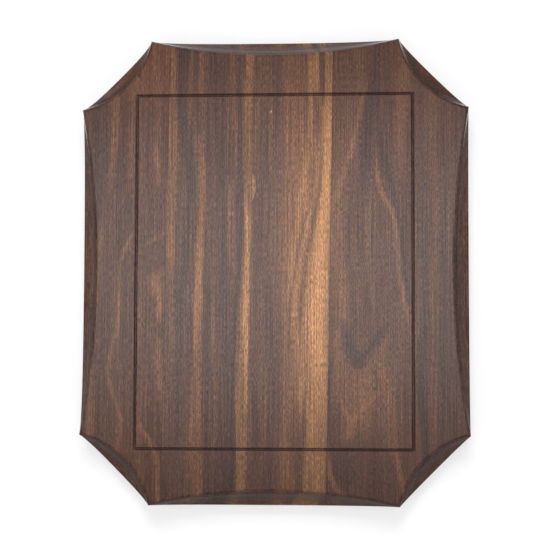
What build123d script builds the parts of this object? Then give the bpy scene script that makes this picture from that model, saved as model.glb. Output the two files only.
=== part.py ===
from build123d import *
import os
from math import asin, cos, pi, radians, sin, sqrt, tan

# Wooden wall plaque: an eight-sided walnut board of three glued staves, with a scooped edge on every
# side and a routed line round its field. It hangs upright: the face looks along -Y, the back is the
# plane y = 0, +Z is up, and the origin is the centre of the upright hanger's entry hole.

# --- driving dimensions, in millimetres ---------------------------------------------------------
board_width = 254.0
board_height = 304.8
board_thickness = 19.05
corner_cut = 45.5              # along each side, so the four corners are cut at 45 degrees
corner_rounding = 0.9          # on the eight upright corners of the outline
back_chamfer = 0.8

left_stave_width = 56.0        # at mid-height
right_stave_width = 90.6       # at mid-height; the centre stave takes what is left
glue_line_lean = 0.9           # degrees, towards +X going up

scoop_inset = 9.3              # how far the cove bites in at the middle of a side
scoop_radius = 12.7            # of the cove cutter that makes it
scoop_ease = 2.2               # radius of the sanded edge between scoop and face
scoop_ease_facets = 4

groove_margin = 36.6           # from the outline to the middle of the routed line
groove_width = 2.3             # at the face
groove_floor_width = 0.3
groove_depth = 1.0

biscuit_length = 56.0
biscuit_width = 23.0
biscuit_thickness = 4.0
biscuit_tip = 5.0              # width of its blunt ends
biscuit_count = 3              # in each glue line
biscuit_end_margin = 34.0      # from the end of the board to the first biscuit
slot_clearance = 0.4           # round a biscuit's outline; its two flat faces touch the wood

plate_length = 44.0
plate_width = 16.0
plate_thickness = 1.6
plate_clearance = 0.15         # between the plate's edge and its recess
hanger_drop = 45.0             # from the edge of the board down to the entry hole
entry_radius = 4.75
entry_offset = 5.0             # from the middle of the plate down to the entry hole
keyhole_width = 4.8
keyhole_travel = 13.0          # from the entry hole up to the end of the keyhole
pocket_radius = 5.5            # room for the head of the wall screw behind the plate
pocket_depth = 8.4             # behind the plate

screw_spacing = 34.0
screw_head_radius = 3.2
screw_shank_radius = 1.45
screw_length = 12.7
screw_tip_length = 3.0
screw_sink = 0.1               # the head sits this far below the plate's face
screw_rim = 0.2                # the straight rim of the head, above its cone
screw_clearance = 0.05
recess_arm = 3.0               # length of each bar of the cross recess
recess_bar = 0.7
recess_depth = 1.1

bumper_radius = 6.0
bumper_height = 3.0
bumper_rounding = 1.2
bumper_inset = 13.0            # from the middle of a cut corner to the bumper's centre

# --- places worked out from them ----------------------------------------------------------------
half_width = board_width / 2
half_height = board_height / 2
middle_z = hanger_drop - half_height
lean_slope = tan(radians(glue_line_lean))
left_line = -half_width + left_stave_width
right_line = half_width - right_stave_width


def plan_point(x, z, depth=0.0):
    """A point by its place on the board from the middle, and its depth behind the face."""
    return Vector(x, depth - board_thickness, z + middle_z)


def octagon():
    """The eight corners of the outline, in order round it."""
    flat_x = half_width - corner_cut
    flat_z = half_height - corner_cut
    quarter = [(flat_x, half_height), (half_width, flat_z)]
    right_side = quarter + [(x, -z) for x, z in reversed(quarter)]
    return right_side + [(-x, z) for x, z in reversed(right_side)]


def prism(flat_shape, depth):
    """A flat shape carried forward, towards the face, by a depth."""
    return extrude(flat_shape, amount=depth, dir=(0, -1, 0))


# The plane of the back: its own x runs along +X and its own y along +Z.
back_plane = Plane(origin=(0, 0, 0), x_dir=(1, 0, 0), z_dir=(0, -1, 0))


# --- the board before it is split ---------------------------------------------------------------
def blank():
    outline = Polyline(*[plan_point(x, z, board_thickness) for x, z in octagon()], close=True)
    board = prism(make_face(outline), board_thickness)
    board = fillet(board.edges().filter_by(Axis.Y), corner_rounding)
    back_edges = board.faces().sort_by(Axis.Y)[-1].edges()
    return chamfer(back_edges, back_chamfer)


def scoop_cutter(start, end):
    """The solid that a cove cutter sweeps along an arc, which meets the outline at two corners.

    The arc's centre lies outside the board. The section falls steeply at the face and runs out flat.
    Its upper edge is eased by facets of an arc that touches the face and the cove.
    """
    middle = ((start[0] + end[0]) / 2, (start[1] + end[1]) / 2)
    chord = sqrt((end[0] - start[0]) ** 2 + (end[1] - start[1]) ** 2)
    arc_radius = (chord ** 2 / 4 + scoop_inset ** 2) / (2 * scoop_inset)
    outward = Vector(end[1] - start[1], 0, start[0] - end[0]).normalized()
    if outward.X * middle[0] + outward.Z * middle[1] < 0:
        outward = -outward
    centre = plan_point(*middle) + outward * (arc_radius - scoop_inset)
    section = Plane(origin=centre, x_dir=-outward, z_dir=(-outward).cross(Vector(0, 1, 0)))

    cove_centre = arc_radius - scoop_radius
    overrun = 2.0
    inner = arc_radius - max(scoop_inset, scoop_radius) - overrun
    ease_reach = scoop_radius + scoop_ease
    ease_start = asin(scoop_ease / ease_reach)
    lip = []
    for step in range(scoop_ease_facets + 1):
        angle = ease_start + (pi / 2 - ease_start) * step / scoop_ease_facets
        along = cove_centre + ease_reach * cos(ease_start) - scoop_ease * cos(angle)
        lip.append((along, scoop_ease * (1 - sin(angle))))
    cove_middle = (cove_centre + scoop_radius * cos(radians(45)), scoop_radius * sin(radians(45)))
    cove_foot = (cove_centre, scoop_radius)
    lines = [
        Line((inner, -overrun), (lip[-1][0], -overrun)),
        Line((lip[-1][0], -overrun), lip[-1]),
        Polyline(*lip),
        ThreePointArc(lip[0], cove_middle, cove_foot),
        Line(cove_foot, (inner, scoop_radius)),
        Line((inner, scoop_radius), (inner, -overrun)),
    ]
    profile = section * make_face(lines)
    return revolve(profile, axis=Axis(centre, (0, 1, 0)), revolution_arc=360)


def routed_line():
    """The groove round the field, as a pointed cutter leaves it.

    Its walls slope to a narrow floor. Its outer corners are the cutter's own cone, its inner corners
    are sharp.
    """
    def tapered_block(side, corners_rounded):
        slope = (groove_floor_width - groove_width) / 2 / groove_depth
        overrun = 0.5
        levels = []
        for depth in (-overrun, groove_depth):
            reach = groove_width / 2 + slope * depth
            width = board_width - 2 * groove_margin + 2 * side * reach
            height = board_height - 2 * groove_margin + 2 * side * reach
            shape = RectangleRounded(width, height, reach) if corners_rounded else Rectangle(width, height)
            levels.append(Plane(origin=plan_point(0, 0, depth), x_dir=(1, 0, 0), z_dir=(0, -1, 0)) * shape)
        return loft(levels)

    return tapered_block(1, True) - tapered_block(-1, False)


def face_cuts():
    """Everything that the front of the board loses: the eight scoops and the routed line."""
    corners = octagon()
    scoops = [scoop_cutter(start, end) for start, end in zip(corners, corners[1:] + corners[:1])]
    return scoops + [routed_line()]


# --- glue lines and biscuits --------------------------------------------------------------------
def stave_slab(low_x, high_x):
    """Everything between two leaning glue lines, given by their place at mid-height."""
    reach = half_height + 20
    shift = reach * lean_slope
    corners = [
        (low_x - shift, -reach),
        (high_x - shift, -reach),
        (high_x + shift, reach),
        (low_x + shift, reach),
    ]
    side = Polyline(*[plan_point(x, z, board_thickness + 5) for x, z in corners], close=True)
    return prism(make_face(side), board_thickness + 10)


def biscuit_shape(grow):
    """A pressed beech biscuit with its long side upright, or its slot where grow is a clearance."""
    half_length = biscuit_length / 2 + grow
    half_side = biscuit_width / 2 + grow
    half_tip = biscuit_tip / 2 + grow
    lines = [
        ThreePointArc((-half_tip, half_length), (-half_side, 0), (-half_tip, -half_length)),
        Line((-half_tip, -half_length), (half_tip, -half_length)),
        ThreePointArc((half_tip, -half_length), (half_side, 0), (half_tip, half_length)),
        Line((half_tip, half_length), (-half_tip, half_length)),
    ]
    flat = back_plane * make_face(lines)
    return Pos(0, biscuit_thickness / 2, 0) * prism(flat, biscuit_thickness)


def biscuit_places(line_x):
    """Even steps along one glue line, in the middle of the board's thickness."""
    reach = half_height - biscuit_end_margin - biscuit_length / 2
    step = 2 * reach / (biscuit_count - 1)
    for index in range(biscuit_count):
        along = -reach + index * step
        place = plan_point(line_x + along * lean_slope, along, board_thickness / 2)
        yield Pos(*place) * Rot(0, glue_line_lean, 0)


# --- hangers: drawn round the entry hole with the keyhole running up -----------------------------
def stadium(length, width, centre_up):
    """A round-ended bar on the back plane, its long side upright."""
    return back_plane * Pos(0, centre_up) * SlotOverall(length, width, rotation=90)


def screw_heights():
    return [entry_offset + side * screw_spacing / 2 for side in (-1, 1)]


def screw(height, grow=0.0):
    """A countersunk wood screw driven forward from the back; grow makes the hole that it fits."""
    head_radius = screw_head_radius + grow
    shank_radius = screw_shank_radius + grow
    top = screw_sink if grow else -screw_sink
    rim_foot = -screw_sink - screw_rim
    lines = Polyline(
        (0, top),
        (head_radius, top),
        (head_radius, rim_foot),
        (shank_radius, rim_foot - (head_radius - shank_radius)),
        (shank_radius, -screw_length + screw_tip_length),
        (0, -screw_length - grow),
        close=True,
    )
    body = Pos(0, 0, height) * revolve(make_face(lines), axis=Axis.Y, revolution_arc=360)
    if grow:
        return body
    for bar in ((recess_arm, recess_bar), (recess_bar, recess_arm)):
        recess = back_plane * Pos(0, height) * Rectangle(*bar)
        body = body - prism(recess, screw_sink + recess_depth)
    return body


def hanger_plate():
    plate = prism(stadium(plate_length, plate_width, entry_offset), plate_thickness)
    entry = back_plane * Circle(entry_radius)
    keyhole = stadium(keyhole_travel + keyhole_width, keyhole_width, keyhole_travel / 2)
    plate = plate - prism(entry, plate_thickness) - prism(keyhole, plate_thickness)
    for height in screw_heights():
        plate = plate - screw(height, screw_clearance)
    return plate


def hanger_cut():
    """What the wood loses to one hanger: the plate's recess, the head pocket and the screw holes."""
    recess = prism(
        stadium(plate_length + 2 * plate_clearance, plate_width + 2 * plate_clearance, entry_offset),
        plate_thickness,
    )
    pocket = prism(
        stadium(keyhole_travel + 2 * pocket_radius, 2 * pocket_radius, keyhole_travel / 2),
        plate_thickness + pocket_depth,
    )
    return [recess, pocket] + [screw(height, screw_clearance) for height in screw_heights()]


hanger_places = {
    "upright": Pos(0, 0, 0),
    "sideways": Pos(half_width - hanger_drop, 0, middle_z) * Rot(0, 90, 0),
}
screw_names = {"upright": ("lower", "upper"), "sideways": ("inner", "outer")}


# --- bumpers ------------------------------------------------------------------------------------
def bumper(side_x, side_z):
    """A round self-adhesive pad on the back, inside one cut corner."""
    inward = bumper_inset / sqrt(2)
    x = side_x * (half_width - corner_cut / 2 - inward)
    z = side_z * (half_height - corner_cut / 2 - inward)
    disc = back_plane * Circle(bumper_radius)
    pad = extrude(disc, amount=bumper_height, dir=(0, 1, 0))
    pad = fillet(pad.edges().sort_by(Axis.Y)[-1], bumper_rounding)
    return Pos(x, 0, z + middle_z) * pad


# --- the nodes ----------------------------------------------------------------------------------
def staves():
    beyond = half_width + 20
    spans = {
        "stave_left": (-beyond, left_line),
        "stave_centre": (left_line, right_line),
        "stave_right": (right_line, beyond),
    }
    slot = biscuit_shape(slot_clearance)
    cuts = face_cuts()
    cuts += [place * slot for line in (left_line, right_line) for place in biscuit_places(line)]
    for place in hanger_places.values():
        cuts += [place * cut for cut in hanger_cut()]
    whole = blank()
    pieces = {}
    for name, span in spans.items():
        piece = whole & stave_slab(*span)
        for cut in cuts:
            piece = piece - cut
        pieces[name] = piece
    return pieces


def biscuits():
    pieces = {}
    for line_name, line in (("left", left_line), ("right", right_line)):
        for place, level in zip(biscuit_places(line), ("bottom", "middle", "top")):
            pieces[f"biscuit_{line_name}_{level}"] = place * biscuit_shape(0.0)
    return pieces


def hangers():
    pieces = {}
    for name, place in hanger_places.items():
        pieces[f"hanger_plate_{name}"] = place * hanger_plate()
        for height, end in zip(screw_heights(), screw_names[name]):
            pieces[f"hanger_screw_{name}_{end}"] = place * screw(height)
    return pieces


def bumpers():
    pieces = {}
    for vertical, side_z in (("bottom", -1), ("top", 1)):
        for horizontal, side_x in (("left", -1), ("right", 1)):
            pieces[f"bumper_{vertical}_{horizontal}"] = bumper(side_x, side_z)
    return pieces


os.makedirs("parts", exist_ok=True)
for nodes in (staves(), biscuits(), hangers(), bumpers()):
    for name, shape in nodes.items():
        export_step(shape, f"parts/{name}.step")
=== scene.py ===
import math

import bpy
from mathutils import Matrix, Vector


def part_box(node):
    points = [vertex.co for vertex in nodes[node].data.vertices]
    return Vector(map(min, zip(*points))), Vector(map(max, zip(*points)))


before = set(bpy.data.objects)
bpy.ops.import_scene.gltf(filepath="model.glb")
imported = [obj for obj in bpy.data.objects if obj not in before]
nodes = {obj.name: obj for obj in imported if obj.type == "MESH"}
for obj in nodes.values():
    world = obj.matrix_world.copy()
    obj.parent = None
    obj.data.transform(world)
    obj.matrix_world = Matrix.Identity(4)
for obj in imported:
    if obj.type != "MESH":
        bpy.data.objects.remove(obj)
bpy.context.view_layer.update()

staveNames = ("stave_left", "stave_centre", "stave_right")

# the board as the frame gives it, in metres
boardLow = Vector([min(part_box(name)[0][axis] for name in staveNames) for axis in range(3)])
boardHigh = Vector([max(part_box(name)[1][axis] for name in staveNames) for axis in range(3)])
boardMiddle = (boardLow + boardHigh) / 2
boardSize = boardHigh - boardLow
faceY = boardLow.y       # the front face
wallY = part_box("bumper_top_left")[1].y       # where the bumpers meet a wall

mm = 1000                    # millimetres in a metre
inMillimetres = (mm, mm, mm)
noiseSpread = (0.3, 0.7)     # the values that nearly all of a noise lies between


def hexToLinear(code):
    # an sRGB hex colour as linear red, green, blue and a full alpha
    parts = [int(code[i:i + 2], 16) / 255 for i in (1, 3, 5)]
    return [p / 12.92 if p <= 0.04045 else ((p + 0.055) / 1.055) ** 2.4 for p in parts] + [1.0]


def nodeAdder(tree):
    # an emptied node tree, and the function that adds a node to it with its settings, its plain values and
    # its links; a node given as a value means its first output
    tree.nodes.clear()

    def add(kind, inputs=None, **settings):
        node = tree.nodes.new("ShaderNode" + kind)
        for name, value in settings.items():
            setattr(node, name, value)
        for key, value in (inputs or {}).items():
            if isinstance(value, bpy.types.Node):
                value = value.outputs[0]
            if isinstance(value, bpy.types.NodeSocket):
                tree.links.new(value, node.inputs[key])
            else:
                node.inputs[key].default_value = value
        return node

    return add


def newMaterial(name):
    material = bpy.data.materials.new(name)
    material.use_nodes = True
    return material, nodeAdder(material.node_tree)


# ---- walnut: European and black walnut staves, planed, glued and sprayed with a satin lacquer.
# The eye gets brown heartwood with paler and darker streaks along the grain, open pores and a soft sheen.
walnut = {
    "tones": {
        "dusk": "#3F2B25", "slate": "#352524", "rose": "#573829", "tan": "#65432D", "orange": "#6E4730",
        "amber": "#764D32", "gold": "#805938", "cream": "#A17046",
    },
    "base": {"stave_left": ("#3D271F", "#482D22", "#4D3226", "#58392A"),
             "stave_centre": ("#3A2823", "#483028", "#4F362A", "#5C412F"),
             "stave_right": ("#402A22", "#482E24", "#4E3428", "#583C2C")},
    "streakSpan": 155.0,      # mm from the middle of the board to the ends of a streak's course
    "halfWidthUnit": 20.0,    # mm, the half width that a course stores as 1
    "ringSlope": 0.6,         # mm across for each mm of depth, so the streaks lean through the thickness

    # each noise has its sizes across the grain and along it in mm, a step from the stave's own seed and a
    # detail; fibres and pores are as long as the stave's fibre length, times a factor of their own
    "fibreLength": {"stave_left": 3.4, "stave_centre": 3.0, "stave_right": 2.6},
    "ground": {"across": 6, "along": 190, "step": 7, "detail": 4.0},
    "groundStops": (0.18, 0.42, 0.58, 0.82),          # the noise values of the four base tones
    "wander": {"across": 25, "along": 110, "step": 0, "detail": 2.0, "reach": 2.4},     # mm a streak strays
    "fray": {"across": 0.9, "along": 26, "step": 3, "detail": 3.0, "reach": 2.4},       # mm its edges stray

    # the layers over the streaks, with the tones they run between; rarity is where the pores come on
    "stripe": {"across": 0.5, "along": 60, "step": 11, "detail": 2.0, "tones": (0.46, 1.54)},
    "fibre": {"across": 0.48, "lengths": 1.0, "step": 13, "detail": 2.0, "tones": (0.36, 1.64)},
    "pore": {"across": 0.5, "lengths": 1.3, "step": 19, "detail": 1.0, "tones": (1.0, 0.62),
             "rarity": (0.56, 0.70)},
    "mottle": {"across": 4.0, "along": 10, "step": 17, "detail": 2.0, "tones": (0.92, 1.08)},

    "endGrain": {"from": 0.35, "to": 0.95, "tone": 0.72},        # by how far the surface faces up or down
    # painted reflection: the coves and edges are greyed by how squarely they face out, standing in for the
    # sheen they reflect
    "cove": {"from": 0.97, "to": 0.80, "reflectionShare": 0.55, "tone": "#3A2D2C"},     # by how squarely it faces out
    "glueLines": ((-71.0, 0.0157), (36.4, 0.0157)),   # mm across at mid height, and across for each mm up
    "glueSeam": {"core": 0.1, "edge": 0.5, "tone": 0.72},        # mm from the middle of the seam

    # the painted rim shade, standing in for the light falling off towards the face's edges: the share of the
    # way out from its middle where it starts, the tone at the edge, how far the middle lies above the
    # board's in mm, and the share lost for each mm of depth
    "rim": {"start": 0.62, "tone": 0.72, "middleUp": 8.0, "fade": 0.08},

    # the routed line, in mm from the board's middle, and the tone it is darkened to: the darkening thins out
    # beside the line, starts and is full at two shares of the depth, and ends below the line's bottom
    "routedLine": {"x": 90.4, "z": 115.8, "halfWidth": 1.15, "depth": 1.0, "tone": 0.6,
                   "beside": (0.1, 0.5), "fill": (0.2, 0.85), "below": (0.3, 0.6)},
    "specks": (("cream", -2.0, 104.5, 0.6, 0.8),      # tone, place and half sizes across and up, in mm
               ("slate", -89.5, 129.5, 1.0, 1.5)),
    "speckDepth": 8.0,        # mm
    "speckEdge": (1.4, 0.4),          # the shares of its half size between which a speck fades in
    "roughness": {"from": 0.4, "to": 1.5, "dark": 0.28, "pale": 0.20},        # by the tone of the layers
    "lacquerIor": 1.5,
    "relief": {"Strength": 0.3, "Distance": 0.00004},         # metres, the fibres under the lacquer
}

# each streak: tone, edge softness, and its course down the board as (height, place across, half width,
# strength), in mm from the middle of the face
leftStreaks = [
    ("orange", .6, [(155, -84, 16, .35), (118, -84, 15, .25), (112, -84, 14, 0)]),
    ("tan", .7, [(118, -105.5, 2.5, .8), (95, -104, 2.4, .9), (80, -105, 2, .8), (66, -107.5, 1.6, .7),
     (52, -108, 1.5, .2), (44, -108, 1, 0)]),
    ("rose", .8, [(100, -94, 1, 0), (85, -94, 1.4, .5), (62, -95, 1.4, .5), (48, -99, 1.4, .4),
     (36, -104, 1.2, 0)]),
    ("dusk", .8, [(108, -114, 7, .42), (80, -115, 6, .42), (60, -114, 5, .17), (45, -114, 4, 0)]),
    ("dusk", .8, [(110, -82, 5, .17), (98, -82.5, 4.5, .42), (75, -82, 3, .42), (63, -83, 1.5, 0)]),
    ("orange", .7, [(86, -78, 1, 0), (78, -77.5, 1.8, .6), (64, -76, 1.5, .5), (54, -76, 1, 0)]),
    ("tan", .7, [(36, -113, 2, 0), (16, -115, 2.4, .5), (-12, -115.5, 2.2, .5), (-30, -116, 2, 0)]),
    ("tan", .6, [(27, -91, .8, 0), (22, -94, 1.2, .8), (12, -98.5, 1.3, .8), (2, -101, 1.3, .6),
     (-8, -101.5, 1.3, .3), (-20, -102, 1.6, .8), (-34, -102.5, 1.4, .8), (-50, -106, 1.2, .7),
     (-66, -108.3, 1.2, .9), (-80, -105, 1.2, .8), (-94, -100, 1, .8), (-110, -98.5, .9, .2),
     (-120, -98, .8, 0)]),
    ("tan", .8, [(27, -70, 1.5, .4), (23, -74, 2, .6), (18, -82, 2.5, .5), (15, -87, 2, 0)]),
    ("orange", .9, [(2, -74, 1.5, 0), (-6, -78, 4, .7), (-12, -77, 3.5, .8), (-20, -75, 2, .7),
     (-28, -75.3, 2.2, .7), (-38, -75.5, 1.6, .1), (-50, -75.5, 2.5, .6), (-70, -75, 2.4, .5),
     (-88, -74, 1.5, 0)]),
    ("tan", .8, [(-98, -89, 1, 0), (-104, -85.5, 1.6, .7), (-112, -80, 2.2, .7), (-120, -77, 2, .6),
     (-135, -76, 1.8, .7), (-150, -75, 1.5, .7)]),
    ("tan", .8, [(-50, -119, 1, 0), (-80, -120.5, 1.8, .5), (-104, -120.5, 2.2, .6), (-118, -118, 2, 0)]),
]
centreStreaks = [
    ("amber", 1, [(155, 15, 9, .1), (110, 18, 9, .3), (70, 19, 12, .6), (40, 18, 13, .85), (0, 17, 12, .85),
     (-30, 16, 9, .7), (-60, 13, 6, .45), (-90, 12, 6, .25)]),
    ("tan", .5, [(118, -66, 2.5, .3), (108, -66.5, 3, .6), (70, -66, 3, .8), (40, -67, 2.6, .9),
     (12, -67.5, 2.6, .9), (-4, -68, 2, .4), (-40, -67, 2, .3), (-70, -66, 2, 0)]),
    ("orange", .6, [(155, -69, 5, .5), (120, -69, 5, .5), (112, -69, 4, 0)]),
    ("slate", .5, [(155, -60, 4, .6), (125, -60.5, 3.5, .6), (90, -57.5, 3.5, .68), (60, -54.5, 3.2, .75),
     (40, -56, 2.6, .68), (0, -58.5, 2.6, .6), (-30, -60.5, 2.6, .52), (-60, -61, 3, .38),
     (-110, -62, 3, .22), (-155, -62, 3, .22)]),
    ("orange", .6, [(155, -48.5, 1.2, .5), (125, -48.7, 1.4, .5), (100, -48, 1, .1), (76, -47.5, 1.2, .5),
     (50, -46.5, 2, .8), (20, -48, 2.4, .9), (-10, -49, 2.6, 1), (-35, -49.5, 2.6, .9), (-70, -50, 3, .5),
     (-110, -51, 4.5, .5), (-155, -50, 4, .5)]),
    ("gold", .8, [(30, -48, 1.2, 0), (12, -48.6, 1.9, .5), (-12, -49, 2.1, .55), (-32, -49.4, 1.9, .45),
     (-55, -50, 1.5, 0)]),
    ("slate", .7, [(155, -42, 3, .22), (90, -42, 3, .3), (0, -43, 2.5, .3), (-80, -43, 2.5, .38),
     (-155, -43, 3, .52)]),
    ("slate", .6, [(155, -34, 2, .38), (60, -34, 2, .52), (0, -33, 2.4, .6), (-60, -32, 3.5, .52),
     (-110, -31, 4.5, .45), (-155, -33, 6, .52)]),
    ("rose", .7, [(155, -26, 1.6, .7), (110, -26.3, 1.8, .8), (75, -25.6, 1.3, .6), (55, -25, 1, 0)]),
    ("tan", .7, [(62, -29.5, 1, 0), (45, -29.5, 1.3, .5), (20, -29.5, 1.3, .4), (0, -26.5, 1.2, .3),
     (-20, -26, 1, 0)]),
    ("slate", .5, [(118, -22.8, 1.3, .52), (60, -22.3, 1.3, .6), (20, -22, 1.4, .68),
     (-20, -24.3, 1.2, .52), (-60, -26.3, 1.4, .6), (-110, -26.5, 1.4, .52), (-155, -27, 1.5, .52)]),
    ("gold", .5, [(155, -16, 2.4, .48), (120, -16.2, 2.6, .44), (90, -16.6, 2.6, .32),
     (60, -16.8, 2.6, .32), (40, -17.2, 2.7, .4), (15, -17.5, 3, .44), (-10, -18.2, 3.4, .48),
     (-40, -19.3, 3.6, .56), (-80, -20.2, 3.6, .56), (-110, -20.6, 3.4, .48), (-155, -21, 3.2, .4)]),
    ("cream", .7, [(64, -13.6, .4, 0), (54, -13.4, .5, .7), (46, -13.6, .4, 0)]),
    ("cream", .8, [(45, -18.5, .8, 0), (25, -17.5, 1.3, .5), (-5, -18, 1.4, .5), (-35, -18, 1.3, .6),
     (-65, -18, 1.1, .5), (-95, -18, .8, 0)]),
    ("tan", .9, [(155, 11, 3, .2), (115, 11, 3, .4), (85, 10, 3.5, .5), (60, 10, 2.6, .5), (40, 9, 2, .2),
     (20, 9, 2, 0)]),
    ("gold", .7, [(155, 24, 1.6, .3), (115, 24, 1.6, .6), (82, 22.4, 1.8, .7), (58, 19, 2.2, .9),
     (38, 16, 2, .8), (20, 13.3, 2, .8), (2, 11.5, 2, .8), (-14, 9.6, 1.3, .5), (-30, 9, 1, 0)]),
    ("gold", .8, [(90, 27, 1, 0), (60, 25.6, 1.8, .6), (36, 21.6, 2, .7), (12, 18, 2, .7),
     (-8, 15.3, 2, .6), (-34, 12.5, 1.4, .5), (-50, 12, 1, 0)]),
    ("gold", .45, [(155, 27.8, 2.5, .5), (125, 27.8, 2.6, .6), (112, 30, 2, .2), (104, 33, 3, .2),
     (90, 34.2, 4, .4), (60, 32.5, 5.5, .8), (30, 31, 6.5, .95), (0, 30, 7.4, .95), (-24, 29, 8.4, .85),
     (-48, 27, 10.8, .85), (-80, 26, 10.6, .75), (-100, 27.5, 8.2, .65), (-125, 27.5, 7.8, .6),
     (-155, 26.5, 8, .5)]),
    ("gold", .5, [(155, 37, 2.4, .56), (120, 36.5, 2.6, .63), (100, 35.5, 3.6, .7), (80, 35, 3.8, .7),
     (60, 36, 1, 0)]),
    ("rose", .8, [(115, 27, .8, 0), (70, 25.2, 1, .5), (45, 23, 1.2, .7), (22, 17.6, 1.2, .7),
     (3, 14.2, 1.1, .6), (-20, 11.3, .9, .4), (-40, 10, .8, 0)]),
    ("rose", .8, [(110, 30.5, .8, 0), (75, 30.4, 1.2, .5), (49, 28.4, 1.5, .7), (22, 24, 1.5, .7),
     (9, 21.7, 1.4, .6), (-15, 18.6, 1.2, .5), (-45, 16, 1, 0)]),
    ("cream", .8, [(108, 35, 1.2, 0), (85, 35, 2, .35), (60, 34, 2.6, .7), (30, 31.6, 3.6, .95),
     (0, 29.5, 4.2, .8), (-30, 28, 5, .65), (-60, 29, 4.4, .5), (-85, 28, 3.5, .3), (-110, 28, 3, 0)]),
    ("dusk", .8, [(-40, 21, .6, 0), (-70, 21, 1, .3), (-100, 19.5, 1.2, .45), (-118, 18.5, 1, .3),
     (-155, 17, 1, .22)]),
    ("tan", .9, [(-90, 9, 2, 0), (-115, 8, 3.5, .5), (-135, 8.5, 4.5, .8), (-155, 8, 4.5, .7)]),
]
rightStreaks = [
    ("tan", 1, [(100, 45, 2.5, 0), (70, 43, 4.5, .4), (20, 41.5, 5, .55), (-30, 42, 4.5, .5),
     (-70, 42, 4, .4), (-95, 42, 3, 0)]),
    ("tan", 1, [(-38, 56, 4, 0), (-55, 57, 8, .45), (-75, 57, 9, .6), (-95, 57, 9, .5), (-108, 56, 7, .15),
     (-114, 56, 5, 0)]),
    ("dusk", 1, [(-106, 58, 14, 0), (-120, 58, 18, .35), (-155, 58, 18, .45)]),
    ("tan", .6, [(125, 62, 1.2, 0), (113, 58.5, 1.6, .6), (97, 55, 1.8, .6), (82, 51.8, 1.8, .8),
     (70, 48, 1.8, .9), (58, 44, 2, .9), (46, 40.6, 1.8, .8), (36, 37.5, 1.5, 0)]),
    ("slate", .7, [(155, 69, 2.5, .4), (118, 64, 3.5, .6), (100, 62, 4.5, .8), (80, 60, 4.5, .7),
     (60, 58, 4, .4), (40, 57, 4, 0)]),
    ("slate", .7, [(130, 69, 1.5, .4), (100, 68, 1.5, .6), (75, 71, 2, .7), (60, 74.5, 2.5, .8),
     (46, 78.5, 2, .8), (30, 82, 1.6, .8), (10, 84.5, 1.8, .8), (-10, 87.3, 1.3, .8), (-24, 89, 1, 0)]),
    ("tan", .6, [(82, 66, .6, 0), (70, 66.3, .9, .6), (58, 67.3, 1.4, .9), (49, 70, 1.8, .9),
     (41, 75, 1.8, .9), (30, 78.6, 1.6, .8), (14, 80.3, 1.8, .6), (-2, 82, 1.8, .6), (-18, 85.4, 1.1, .8),
     (-34, 88, .9, .3), (-44, 89, .6, 0)]),
    ("tan", .9, [(155, 84, 5, .15), (115, 84, 4, .3), (90, 81, 4, .3), (66, 80, 3, .2), (50, 81, 2, 0)]),
    ("tan", .8, [(5, 45, 2, 0), (-14, 45, 2.4, .6), (-26, 46, 2.2, .6), (-34, 46, 1.4, 0)]),
    ("rose", .9, [(60, 54, 3, .1), (20, 56, 4, .3), (-20, 57, 4, .3), (-40, 58, 4, 0)]),
    ("slate", 1, [(-28, 44, 2, 0), (-38, 46.5, 3, .6), (-48, 49.5, 4, .8), (-57, 53, 4.5, .8),
     (-65, 56, 2.4, 0)]),
    ("slate", 1, [(-32, 75, 1.5, 0), (-40, 70, 3, .6), (-48, 65, 4, .8), (-56, 58.5, 4, .8),
     (-65, 56, 2.4, 0)]),
    ("slate", .7, [(-52, 42, .5, 0), (-62, 38, 1.4, .6), (-76, 36.5, 1.2, .6), (-90, 36, 1, 0)]),
    ("tan", .7, [(-34, 43.5, .8, 0), (-42, 42.5, 1.8, .6), (-54, 41, 2, .4), (-66, 42.3, 1.3, .5),
     (-82, 43.8, 1, .7), (-92, 46.5, 1.6, .9), (-98, 50, 2.2, .9), (-106, 48.5, 2.4, .6),
     (-114, 47, 2, 0)]),
    ("tan", .7, [(-76, 68, .8, 0), (-82, 65.5, 1.8, .8), (-87, 60.5, 2, .9), (-93, 54.8, 1.8, .9),
     (-99, 50.5, 1.4, .4), (-103, 50, 1, 0)]),
    ("tan", .9, [(-40, 74, 1.5, 0), (-56, 70, 3.5, .5), (-75, 73.5, 2.5, .5), (-95, 77, 2.5, .4),
     (-112, 78.5, 1.5, .5), (-126, 80.5, 1.6, .8), (-138, 83, 1.6, .8), (-148, 84, 1.3, .3)]),
    ("dusk", .5, [(-114, 44, 6, 0), (-119, 44, 8, .6), (-130, 44, 7.5, .8), (-138, 45, 5, .8),
     (-143, 45, 2.5, 0)]),
    ("tan", .7, [(-117, 36, 1, .3), (-132, 36.5, 1.6, .7), (-141, 40.5, 2, .7), (-148, 46, 3, .4),
     (-155, 46, 3, .3)]),
    ("dusk", .7, [(-116, 64, 1.6, 0), (-128, 65, 2.5, .6), (-155, 66, 3, .6)]),
    ("dusk", .7, [(-116, 74, 1.6, 0), (-128, 74, 2.2, .7), (-155, 73, 2.6, .7)]),
    ("slate", .7, [(155, 96.5, 1.5, .2), (110, 96, 1.8, .5), (60, 97, 1.8, .5), (0, 98, 1.6, .5),
     (-50, 96, 2, .6), (-100, 97.3, 2.2, .8), (-155, 98, 2, .6)]),
    ("slate", .8, [(110, 112, 1.5, .2), (40, 111, 1.3, .4), (-40, 109.5, 2, .5), (-110, 108, 2, .5)]),
    ("rose", .8, [(110, 103, 2, .4), (40, 104, 2, .5), (0, 103, 2, .7), (-60, 103, 2, .5),
     (-110, 103, 2, .3)]),
]


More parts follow.
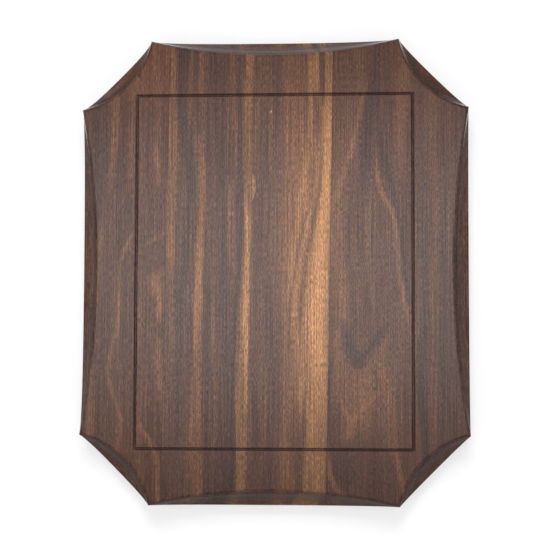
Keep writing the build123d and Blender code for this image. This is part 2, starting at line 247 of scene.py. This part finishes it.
def addStreak(add, colour, across, height, tone, softness, course):
    # A streak lies within its half width of a smooth line down the board: the distance from the line over
    # the half width, eased from full to nothing, times the strength at that height, mixes its tone in.
    span, unit = walnut["streakSpan"], walnut["halfWidthUnit"]
    curve = add("VectorCurve", {"Vector": height})
    columns = [[(h / span, p / span) for h, p, w, s in course],
               [(h / span, w / unit) for h, p, w, s in course],
               [(h / span, s) for h, p, w, s in course]]
    for channel, points in zip(curve.mapping.curves, columns):
        points = sorted(points)
        channel.points[0].location, channel.points[1].location = points[0], points[-1]
        for point in points[1:-1]:
            channel.points.new(*point)
        for point in channel.points:
            point.handle_type = "AUTO_CLAMPED"
    curve.mapping.update()
    here = add("SeparateXYZ", {0: curve})
    away = add("Math", {0: add("Math", {0: here.outputs[0], 1: -span, 2: across}, operation="MULTIPLY_ADD")},
               operation="ABSOLUTE")
    share = add("Math", {0: away, 1: here.outputs[1]}, operation="DIVIDE")
    weight = add("MapRange", {0: share, 1: (1 + softness) * unit, 2: (1 - softness) * unit},
                 interpolation_type="SMOOTHSTEP")
    amount = add("Math", {0: weight, 1: here.outputs[2]}, operation="MULTIPLY")
    return add("Mix", {"Factor": amount, 6: colour, 7: hexToLinear(walnut["tones"][tone])},
               data_type="RGBA").outputs[2]


def walnutMaterial(name, stave, streaks, seed):
    material, add = newMaterial(name)
    # millimetres from the middle of the front face
    place = add("Mapping", {"Vector": add("TexCoord").outputs["Object"], "Scale": inMillimetres,
                "Location": (-mm * boardMiddle.x, -mm * faceY, -mm * boardMiddle.z)})
    x, depth, z = add("SeparateXYZ", {0: place}).outputs

    def grain(look):
        # noise drawn out along the grain, moved by its seed along all three axes
        along = look["along"] if "along" in look else look["lengths"] * walnut["fibreLength"][stave]
        shift = seed + look["step"]
        stretched = add("Mapping", {"Vector": place, "Location": (shift, shift, shift),
                        "Scale": (1 / look["across"], 1 / look["across"], 1 / along)})
        return add("TexNoise", {"Vector": stretched, "Scale": 1.0, "Detail": look["detail"]})

    # the streaks wander slowly, fray at their edges and lean through the thickness
    across = add("Math", {0: depth, 1: walnut["ringSlope"], 2: x}, operation="MULTIPLY_ADD")
    for look in (walnut["wander"], walnut["fray"]):
        shift = add("MapRange", {0: grain(look), 3: -look["reach"], 4: look["reach"]})
        across = add("Math", {0: across, 1: shift}, operation="ADD")
    height = add("Math", {0: z, 1: walnut["streakSpan"]}, operation="DIVIDE")
    height = add("CombineXYZ", {0: height, 1: height, 2: height})

    colour = add("ValToRGB", {0: grain(walnut["ground"])})
    ramp = colour.color_ramp
    stops = walnut["groundStops"]
    ramp.elements[0].position, ramp.elements[1].position = stops[0], stops[-1]
    for position in stops[1:-1]:
        ramp.elements.new(position)
    for element, tone in zip(ramp.elements, walnut["base"][stave]):
        element.color = hexToLinear(tone)
    for tone, softness, course in streaks:
        colour = addStreak(add, colour, across, height, tone, softness, course)
    for tone, middleX, middleZ, halfX, halfZ in walnut["specks"]:
        spot = add("Mapping", {"Vector": place, "Scale": (1 / halfX, 1 / walnut["speckDepth"], 1 / halfZ),
                   "Location": (-middleX / halfX, 0, -middleZ / halfZ)})
        spot = add("VectorMath", {0: spot}, operation="LENGTH").outputs["Value"]
        spot = add("MapRange", {0: spot, 1: walnut["speckEdge"][0], 2: walnut["speckEdge"][1]},
                   interpolation_type="SMOOTHSTEP")
        colour = add("Mix", {"Factor": spot, 6: colour, 7: hexToLinear(walnut["tones"][tone])},
                     data_type="RGBA").outputs[2]

    # fine stripes, fibres, pores and a soft mottle; pores are 0.2 mm wide, drawn at 0.5 mm so that they show
    fine = 1.0
    for look in (walnut["stripe"], walnut["fibre"], walnut["pore"], walnut["mottle"]):
        start, end = look.get("rarity", noiseSpread)
        shade = add("MapRange", {0: grain(look), 1: start, 2: end, 3: look["tones"][0], 4: look["tones"][1]},
                    interpolation_type="SMOOTHSTEP" if "rarity" in look else "LINEAR")
        fine = add("Math", {0: fine, 1: shade}, operation="MULTIPLY")

    # end grain takes in more of the finish, so the faces that cut across the fibres are darker
    facing = add("SeparateXYZ", {0: add("TexCoord").outputs["Normal"]})
    facingUp = add("Math", {0: facing.outputs[2]}, operation="ABSOLUTE")
    look = walnut["endGrain"]
    tone = add("MapRange", {0: facingUp, 1: look["from"], 2: look["to"], 3: 1.0, 4: look["tone"]})

    # painted reflection: a cooler, greyer tone is mixed into the coves and the edges, the more so the
    # further they turn from facing out, standing in for the grey sheen they reflect
    facingOut = add("Math", {0: facing.outputs[1]}, operation="ABSOLUTE")
    look = walnut["cove"]
    paintedReflection = add("MapRange", {0: facingOut, 1: look["from"], 2: look["to"], 3: 0.0, 4: look["reflectionShare"]})
    colour = add("Mix", {"Factor": paintedReflection, 6: colour, 7: hexToLinear(look["tone"])},
                 data_type="RGBA").outputs[2]

    # a thin dark seam of glue between the staves
    seam = walnut["glueSeam"]
    for middle, lean in walnut["glueLines"]:
        line = add("Math", {0: z, 1: lean, 2: middle}, operation="MULTIPLY_ADD")
        away = add("Math", {0: add("Math", {0: x, 1: line}, operation="SUBTRACT")}, operation="ABSOLUTE")
        shade = add("MapRange", {0: away, 1: seam["core"], 2: seam["edge"], 3: seam["tone"], 4: 1.0})
        tone = add("Math", {0: tone, 1: shade}, operation="MULTIPLY")

    # painted shade: the flat face is darkened towards its rim, standing in for the light falling off towards
    # its edges, so the face is palest in its middle
    rim = walnut["rim"]
    halfSize = mm * boardSize / 2
    overX = add("Math", {0: x}, operation="ABSOLUTE")
    overX = add("Math", {0: overX, 1: halfSize.x}, operation="DIVIDE")
    overZ = add("Math", {0: z, 1: rim["middleUp"]}, operation="SUBTRACT")
    overZ = add("Math", {0: overZ}, operation="ABSOLUTE")
    overZ = add("Math", {0: overZ, 1: halfSize.z}, operation="DIVIDE")
    toShadedRim = add("Math", {0: overX, 1: overZ}, operation="MAXIMUM")
    toShadedRim = add("Math", {0: depth, 1: -rim["fade"], 2: toShadedRim}, operation="MULTIPLY_ADD")
    shade = add("MapRange", {0: toShadedRim, 1: rim["start"], 2: 1.0, 3: 1.0, 4: rim["tone"]})
    tone = add("Math", {0: tone, 1: shade}, operation="MULTIPLY")

    # the routed line is darkened: most where the rectangle of the line is near and deep
    routed = walnut["routedLine"]
    beyond = []
    for value, middle in ((x, routed["x"]), (z, routed["z"])):
        value = add("Math", {0: value}, operation="ABSOLUTE")
        beyond.append(add("Math", {0: value, 1: middle}, operation="SUBTRACT"))
    outside = add("Math", {0: beyond[0], 1: beyond[1]}, operation="MAXIMUM")
    fromLine = add("Math", {0: outside}, operation="ABSOLUTE")
    edge = [routed["halfWidth"] + beside for beside in routed["beside"]]
    fill = [routed["depth"] * share for share in routed["fill"]]
    bottom = [routed["depth"] + below for below in routed["below"]]
    near = add("MapRange", {0: fromLine, 1: edge[0], 2: edge[1], 3: 1.0, 4: 0.0})
    low = add("MapRange", {0: depth, 1: fill[0], 2: fill[1]})
    shallow = add("MapRange", {0: depth, 1: bottom[0], 2: bottom[1], 3: 1.0, 4: 0.0})
    lineDarkening = add("Math", {0: near, 1: low}, operation="MULTIPLY")
    lineDarkening = add("Math", {0: lineDarkening, 1: shallow}, operation="MULTIPLY")
    shade = add("MapRange", {0: lineDarkening, 3: 1.0, 4: routed["tone"]})
    tone = add("Math", {0: tone, 1: shade}, operation="MULTIPLY")
    tone = add("Math", {0: tone, 1: fine}, operation="MULTIPLY")

    toned = add("VectorMath", {0: colour, "Scale": tone}, operation="SCALE")
    look = walnut["roughness"]
    shine = add("MapRange", {0: fine, 1: look["from"], 2: look["to"], 3: look["dark"], 4: look["pale"]})
    bump = add("Bump", {"Height": fine, **walnut["relief"]})
    shader = add("BsdfPrincipled", {"Base Color": toned, "Roughness": shine, "Normal": bump,
                 "IOR": walnut["lacquerIor"]})
    add("OutputMaterial", {"Surface": shader})
    return material


staveGrain = {"stave_left": (leftStreaks, 2.0), "stave_centre": (centreStreaks, 31.0),
              "stave_right": (rightStreaks, 57.0)}
for name, (streaks, seed) in staveGrain.items():
    material = walnutMaterial("walnut" + name.split("_")[1].capitalize(), name, streaks, seed)
    nodes[name].material_slots[0].material = material
print("walnut staves done")

# ---- hangers: mild steel sheet, stamped and zinc plated, and turned screws with the same plating.
# The eye gets a cool grey metal with a faint spangle, drawing marks along the sheet and a soft shine.
zincPlate = {
    "pale": "#C9CCCB", "dull": "#A3A8AA",
    "screwPale": "#9A9DA0", "screwDull": "#7D8285",
    "spangle": 2.5,           # mm
    "drawMark": 0.35,         # mm across the marks; real ones are about 0.1 mm
    "drawLength": 12.0,       # mm
    "sheetRoughness": 0.44, "screwRoughness": 0.34, "roughnessSpread": 0.14,
    # painted shade: the metal is darkened by depth in the holes and recesses
    "recess": {"from": -0.9, "to": -0.25, "tone": 0.25},         # mm from the plane of the board's back
    "relief": {"Strength": 0.4, "Distance": 0.00003},         # metres, the marks
}


def zincMaterial(name, pale, dull, along, roughest):
    # along: how far a mark runs along X, Y and Z, in millimetres
    material, add = newMaterial(name)
    place = add("Mapping", {"Vector": add("TexCoord").outputs["Object"], "Scale": inMillimetres})
    spangle = add("TexVoronoi", {"Vector": place, "Scale": 1 / zincPlate["spangle"]}).outputs["Color"]
    spangle = add("SeparateColor", {0: spangle})
    colour = add("Mix", {"Factor": spangle, 6: hexToLinear(dull), 7: hexToLinear(pale)},
                 data_type="RGBA").outputs[2]
    # painted shade: the metal is darkened in the holes and the recesses, the more the deeper they lie
    depth = add("SeparateXYZ", {0: place}).outputs[1]
    recess = zincPlate["recess"]
    recessShade = add("MapRange", {0: depth, 1: recess["from"], 2: recess["to"], 3: recess["tone"], 4: 1.0})
    colour = add("VectorMath", {0: colour, "Scale": recessShade}, operation="SCALE")
    marks = add("Mapping", {"Vector": place, "Scale": [1 / length for length in along]})
    marks = add("TexNoise", {"Vector": marks, "Scale": 1.0, "Detail": 3.0})
    finest = roughest - zincPlate["roughnessSpread"]
    shine = add("MapRange", {0: marks, 1: noiseSpread[0], 2: noiseSpread[1], 3: roughest, 4: finest})
    bump = add("Bump", {"Height": marks, **zincPlate["relief"]})
    shader = add("BsdfPrincipled", {"Base Color": colour, "Metallic": 1.0, "Roughness": shine,
                 "Normal": bump})
    add("OutputMaterial", {"Surface": shader})
    return material


mark, drawn = zincPlate["drawMark"], zincPlate["drawLength"]
sheet, turned = (zincPlate["pale"], zincPlate["dull"]), (zincPlate["screwPale"], zincPlate["screwDull"])
plateUpright = zincMaterial("zincPlateUpright", *sheet, (mark, mark, drawn), zincPlate["sheetRoughness"])
plateSideways = zincMaterial("zincPlateSideways", *sheet, (drawn, mark, mark), zincPlate["sheetRoughness"])
screwZinc = zincMaterial("zincScrew", *turned, (mark, mark, mark), zincPlate["screwRoughness"])

# ---- bumpers: polyurethane rubber, moulded, with a dull skin.
# The eye gets a dark grey with a fine pebble and a little dust.
bumperRubber = {
    "skin": "#232325", "dust": "#3A3936",
    "dustPatch": 2.857, "pebble": 0.35,       # mm
    "dusty": (0.4, 0.7),      # the values of the noise between which the dust comes on
    "roughness": (0.55, 0.75),        # from the bare skin to the dusty one
    "ior": 1.5,
    "relief": {"Strength": 0.5, "Distance": 0.00005},         # metres, the pebble
}


def rubberMaterial():
    material, add = newMaterial("mouldedRubber")
    place = add("Mapping", {"Vector": add("TexCoord").outputs["Object"], "Scale": inMillimetres})
    dust = add("TexNoise", {"Vector": place, "Scale": 1 / bumperRubber["dustPatch"], "Detail": 4.0})
    dust = add("MapRange", {0: dust, 1: bumperRubber["dusty"][0], 2: bumperRubber["dusty"][1]})
    colour = add("Mix", {"Factor": dust, 6: hexToLinear(bumperRubber["skin"]),
                 7: hexToLinear(bumperRubber["dust"])}, data_type="RGBA").outputs[2]
    pebble = add("TexNoise", {"Vector": place, "Scale": 1 / bumperRubber["pebble"], "Detail": 2.0})
    shine = add("MapRange", {0: dust, 3: bumperRubber["roughness"][0], 4: bumperRubber["roughness"][1]})
    bump = add("Bump", {"Height": pebble, **bumperRubber["relief"]})
    shader = add("BsdfPrincipled", {"Base Color": colour, "Roughness": shine, "Normal": bump,
                 "IOR": bumperRubber["ior"]})
    add("OutputMaterial", {"Surface": shader})
    return material


# ---- biscuits: beech, sawn and pressed, left raw.
# The eye gets a pale pinkish tan with short darker ray flecks.
beech = {
    "pale": "#C79B70", "dark": "#A97B52", "fleck": "#8A5C3A",
    "grainAngle": math.radians(45),   # the grain runs slantwise, so a biscuit doesn't split along the joint
    "grainSize": (10.0, 1.0, 1.0), "fleckSize": (2.0, 0.6, 0.6),      # mm along the grain and across it
    "fleckRarity": (0.58, 0.68),      # the values of the noise between which a fleck comes on
    "roughness": (0.75, 0.62),        # from the dark grain to the pale one
    "ior": 1.5,
    "relief": {"Strength": 0.4, "Distance": 0.0001},          # metres, the grain
}


def beechMaterial():
    material, add = newMaterial("pressedBeech")
    place = add("Mapping", {"Vector": add("TexCoord").outputs["Object"], "Scale": inMillimetres})
    turned = (0, beech["grainAngle"], 0)
    grain = add("Mapping", {"Vector": place, "Rotation": turned,
                "Scale": [1 / size for size in beech["grainSize"]]})
    grain = add("TexNoise", {"Vector": grain, "Scale": 1.0, "Detail": 4.0})
    colour = add("Mix", {"Factor": grain, 6: hexToLinear(beech["dark"]), 7: hexToLinear(beech["pale"])},
                 data_type="RGBA").outputs[2]
    fleck = add("Mapping", {"Vector": place, "Rotation": turned,
                "Scale": [1 / size for size in beech["fleckSize"]]})
    fleck = add("TexNoise", {"Vector": fleck, "Scale": 1.0, "Detail": 1.0})
    fleck = add("MapRange", {0: fleck, 1: beech["fleckRarity"][0], 2: beech["fleckRarity"][1]})
    colour = add("Mix", {"Factor": fleck, 6: colour, 7: hexToLinear(beech["fleck"])},
                 data_type="RGBA").outputs[2]
    bump = add("Bump", {"Height": grain, **beech["relief"]})
    shine = add("MapRange", {0: grain, 3: beech["roughness"][0], 4: beech["roughness"][1]})
    shader = add("BsdfPrincipled", {"Base Color": colour, "Roughness": shine, "Normal": bump,
                 "IOR": beech["ior"]})
    add("OutputMaterial", {"Surface": shader})
    return material


rubber, pressedBeech = rubberMaterial(), beechMaterial()
finishes = {"hanger_plate_upright": plateUpright, "hanger_plate_sideways": plateSideways,
            "hanger_screw": screwZinc, "bumper": rubber, "biscuit": pressedBeech}
for start, material in finishes.items():
    for name in nodes:
        if name.startswith(start):
            nodes[name].material_slots[0].material = material
print("hangers, bumpers and biscuits done")

# ---- stage: a pale wall behind the board, a pale floor, soft lights and the camera.
# Both are matt paint, rolled, with a glow of their own that gives the eye an even, bright ground.
stage = {
    "floorDrop": 0.30,        # metres from the board's bottom to the floor
    "reach": 4.0,             # metres
    "paint": {"wall": ("#929292", 0.55), "floor": ("#F4F4F4", 0.39)},         # tone and glow
    "roughness": 0.9,
    "seenWorld": 1.1, "lightingWorld": 0.11,          # the white surround as seen, and as a light
    "cameraPlace": (0.0661, -1.0142, -0.1807),
    "cameraTurn": (-3.750, -4.040, -0.122),   # degrees from facing the board; minus is left, up, clockwise
    "lens": 100.54, "sensor": 36.0,           # mm
    "nearest": 0.01,          # metres, what the camera still sees
}


def plane(name, corners):
    # a flat sheet of the stage through four corners
    mesh = bpy.data.meshes.new(name)
    mesh.from_pydata(corners, [], [(0, 1, 2, 3)])
    made = bpy.data.objects.new(name, mesh)
    bpy.context.scene.collection.objects.link(made)
    return made


reach = stage["reach"]
floorZ = boardLow.z - stage["floorDrop"]
wall = plane("wall", [(-reach, wallY, floorZ), (reach, wallY, floorZ), (reach, wallY, reach),
                      (-reach, wallY, reach)])
floor = plane("floor", [(-reach, -reach, floorZ), (reach, -reach, floorZ), (reach, reach, floorZ),
                        (-reach, reach, floorZ)])
for part in (wall, floor):
    tone, glow = stage["paint"][part.name]
    material, add = newMaterial(part.name + "Paint")
    paint = add("BsdfPrincipled", {"Base Color": hexToLinear(tone), "Roughness": stage["roughness"],
                "Emission Color": (1, 1, 1, 1), "Emission Strength": glow})
    if part is wall:      # clear from behind, so that the board's back can be looked at
        side = add("NewGeometry").outputs["Backfacing"]
        paint = add("MixShader", {0: side, 1: paint, 2: add("BsdfTransparent")})
    add("OutputMaterial", {"Surface": paint})
    part.data.materials.append(material)
wall.visible_diffuse = wall.visible_glossy = wall.visible_shadow = False
floor.visible_glossy = False


def softLight(name, place, aim, size, power):
    # a flat rectangular light that faces the point it is aimed at
    lamp = bpy.data.lights.new(name, "AREA")
    lamp.shape, lamp.size, lamp.size_y, lamp.energy = "RECTANGLE", size[0], size[1], power
    made = bpy.data.objects.new(name, lamp)
    made.location = place
    made.rotation_euler = (Vector(aim) - Vector(place)).to_track_quat("-Z", "Y").to_euler()
    bpy.context.scene.collection.objects.link(made)
    return made


# each light: its place and aim, its size in metres, its power in watts, and whether the gloss shows it
lights = {
    "keyLight": ((0.02, -1.9, 1.4), boardMiddle, (1.3, 1.0), 56, False),
    "whiteBoard": ((-0.03, -1.5, 0.01), boardMiddle, (1.6, 0.43), 5.4, True),
    "leftLight": ((-1.5, -0.8, 0.1), boardMiddle, (0.6, 0.9), 4, False),
    "rightLight": ((1.5, -0.8, 0.1), boardMiddle, (0.6, 0.9), 4, False),
    "topLight": ((-0.18, 0.1, 1.0), boardMiddle, (1.8, 1.0), 4.5, True),
    "tableGlow": ((0.0, 0.1, -0.54), boardMiddle, (1.4, 0.5), 0.48, True),
    "leftSheen": ((-1.0, 0.1, 0.1), boardMiddle, (1.4, 1.0), 1.3, True),
    "rightSheen": ((1.0, 0.1, 0.1), boardMiddle, (1.4, 1.0), 1.0, True),
    "backPanel": ((0.0, 1.6, 0.75), (0.0, 0.0, 0.75), (2.4, 1.2), 14, True),
    "backFill": ((0.0, 2.2, 0.1), boardMiddle, (1.2, 1.2), 45, False),
    "backSheen": ((0.0, 1.8, -0.05), boardMiddle, (2.4, 1.2), 7, True),
}
for name, (place, aim, size, power, inGloss) in lights.items():
    made = softLight(name, place, aim, size, power)
    made.visible_glossy, made.visible_camera = inGloss, False

world = bpy.data.worlds.new("studio")
world.use_nodes = True
bpy.context.scene.world = world
add = nodeAdder(world.node_tree)
seen = add("MapRange", {0: add("LightPath").outputs["Is Camera Ray"],
           3: stage["lightingWorld"], 4: stage["seenWorld"]})
add("OutputWorld", {"Surface": add("Background", {"Color": (1, 1, 1, 1), "Strength": seen})})

yaw, pitch, roll = (math.radians(angle) for angle in stage["cameraTurn"])
turn = Matrix.Rotation(yaw, 3, "Z") @ Matrix.Rotation(pitch, 3, "X") @ Matrix.Rotation(roll, 3, "Y")
back = turn.transposed()
right, view, up = back @ Vector((1, 0, 0)), back @ Vector((0, 1, 0)), back @ Vector((0, 0, 1))
axes = Matrix([right, up, -view]).transposed().to_4x4()
cameraData = bpy.data.cameras.new("camera")
cameraData.lens, cameraData.sensor_width = stage["lens"], stage["sensor"]
cameraData.clip_start = stage["nearest"]
camera = bpy.data.objects.new("camera", cameraData)
camera.matrix_world = Matrix.Translation(stage["cameraPlace"]) @ axes
bpy.context.scene.collection.objects.link(camera)
bpy.context.scene.camera = camera
bpy.context.scene.view_settings.view_transform = "Standard"
print("stage done")
